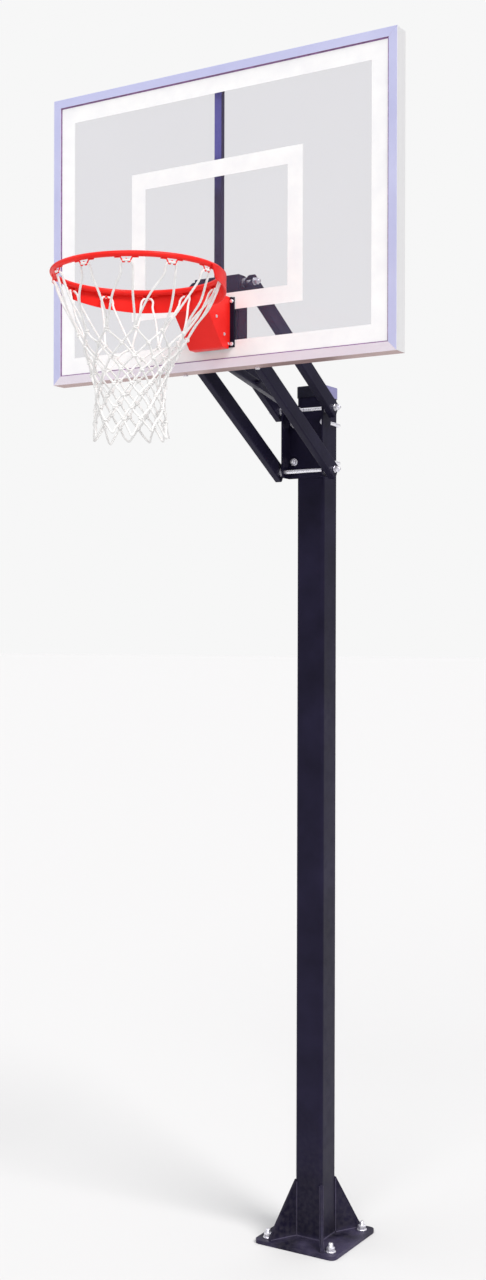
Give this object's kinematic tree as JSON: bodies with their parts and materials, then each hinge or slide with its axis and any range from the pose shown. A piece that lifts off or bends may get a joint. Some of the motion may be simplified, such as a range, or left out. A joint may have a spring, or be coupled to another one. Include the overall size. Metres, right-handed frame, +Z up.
{
  "type": "height-adjustable basketball hoop",
  "caption": "Bolt-down basketball hoop: square pole, height-adjusting parallel arms with a telescoping strut, clear framed backboard, breakaway rim with net.",
  "frame": {"origin": "centre of the base plate's underside, on the ground under the middle of the square pole", "axes": "+Z up; the playing side of the backboard faces -Y; +X is on the right of someone who faces the board from the court"},
  "size_m": [1.2192, 1.449, 3.7484],
  "materials": {
    "black_powder_coat": "semi-gloss",
    "black_cap_plastic": "satin",
    "zinc": "satin",
    "strut_steel": "semi-gloss",
    "frame_aluminium": "satin",
    "clear_glass": "gloss",
    "black_rubber": "matte",
    "white_print": "gloss",
    "red_powder_coat": "gloss",
    "spring_steel": "satin",
    "white_cord": "matte"
  },
  "bodies": {
    "post": {"base_plate": "black_powder_coat", "base_gussets": "black_powder_coat", "anchor_studs": "zinc", "anchor_washers": "zinc", "anchor_nuts": "zinc", "pole": "black_powder_coat", "pole_cap": "black_cap_plastic", "pole_bracket": "black_powder_coat", "u_bolts": "zinc", "u_bolt_washers": "zinc", "u_bolt_nuts": "zinc", "pole_rods": "zinc", "pole_spacers": "zinc", "pole_rod_washers": "zinc", "pole_rod_nuts": "zinc", "strut_eye_spacers": "zinc"},
    "lower_arms": {"lower_arm_left": "black_powder_coat", "lower_arm_right": "black_powder_coat"},
    "upper_arms": {"upper_arm_left": "black_powder_coat", "upper_arm_right": "black_powder_coat"},
    "board": {"board_rods": "zinc", "board_spacers": "zinc", "board_rod_washers": "zinc", "board_rod_nuts": "zinc", "strut_collar": "zinc", "frame_bottom": "frame_aluminium", "frame_top": "frame_aluminium", "frame_left": "frame_aluminium", "frame_right": "frame_aluminium", "frame_corner_keys": "frame_aluminium", "panel": "clear_glass", "panel_gasket": "black_rubber", "printed_border": "white_print", "shooter_square": "white_print", "mounting_pad": "black_rubber", "board_bracket": "black_powder_coat", "bracket_foot": "black_powder_coat", "foot_screws": "zinc", "centre_stile": "black_powder_coat", "stile_rivets": "zinc", "rim_base_plate": "black_powder_coat", "rim_bolts": "zinc", "rim_bolt_nuts": "zinc", "rim_hinge_pin": "zinc", "spring_rods": "zinc", "spring_stops": "zinc", "breakaway_springs": "spring_steel"},
    "rim": {"rim_spring_seat": "red_powder_coat", "rim_side_plates": "red_powder_coat", "rim_cover": "red_powder_coat", "rim_top_plate": "red_powder_coat", "rim_rivets": "zinc", "rim_ring": "red_powder_coat", "rim_brace": "red_powder_coat", "net_clips": "red_powder_coat", "net": "white_cord"},
    "strut_inner": {"strut_inner": "strut_steel"},
    "strut_outer": {"strut_outer": "strut_steel", "strut_clamp_bolt": "black_powder_coat", "strut_clamp_nut": "black_powder_coat"}
  },
  "joints": [
    {"name": "height_adjust", "type": "hinge", "parent": "post", "child": "lower_arms", "pos_m": [0, -0.089, 2.5795], "axis": [1, 0, 0], "range_deg": [0, 60]},
    {"name": "board_level", "type": "hinge", "parent": "lower_arms", "child": "board", "pos_m": [0, -0.60759, 2.8911], "axis": [1, 0, 0], "range_deg": [-60, 0]},
    {"name": "upper_arm_swing", "type": "hinge", "parent": "post", "child": "upper_arms", "pos_m": [0, -0.089, 2.7827], "axis": [1, 0, 0], "range_deg": [0, 60]},
    {"name": "strut_tilt", "type": "hinge", "parent": "post", "child": "strut_inner", "pos_m": [-0.036, -0.089, 2.7827], "axis": [1, 0, 0], "range_deg": [0, 55]},
    {"name": "strut_extend", "type": "slide", "parent": "strut_inner", "child": "strut_outer", "axis": [0, -0.9788, 0.2046], "range_m": [0, 0.196]},
    {"name": "rim_breakaway", "type": "hinge", "parent": "board", "child": "rim", "pos_m": [0, -0.664, 2.904], "axis": [1, 0, 0], "range_deg": [0, 20], "stiffness_Nm_per_rad": 500, "springref_deg": -28.65, "deforming": ["breakaway_springs"]}
  ],
  "couplings": [
    {"joint": "board_level", "follows": "height_adjust", "ratio": -1},
    {"joint": "upper_arm_swing", "follows": "height_adjust", "ratio": 1},
    {"joint": "strut_tilt", "follows": "height_adjust", "ratio": 0.9164},
    {"joint": "strut_extend", "follows": "height_adjust", "m_per_rad": 0.18699}
  ]
}
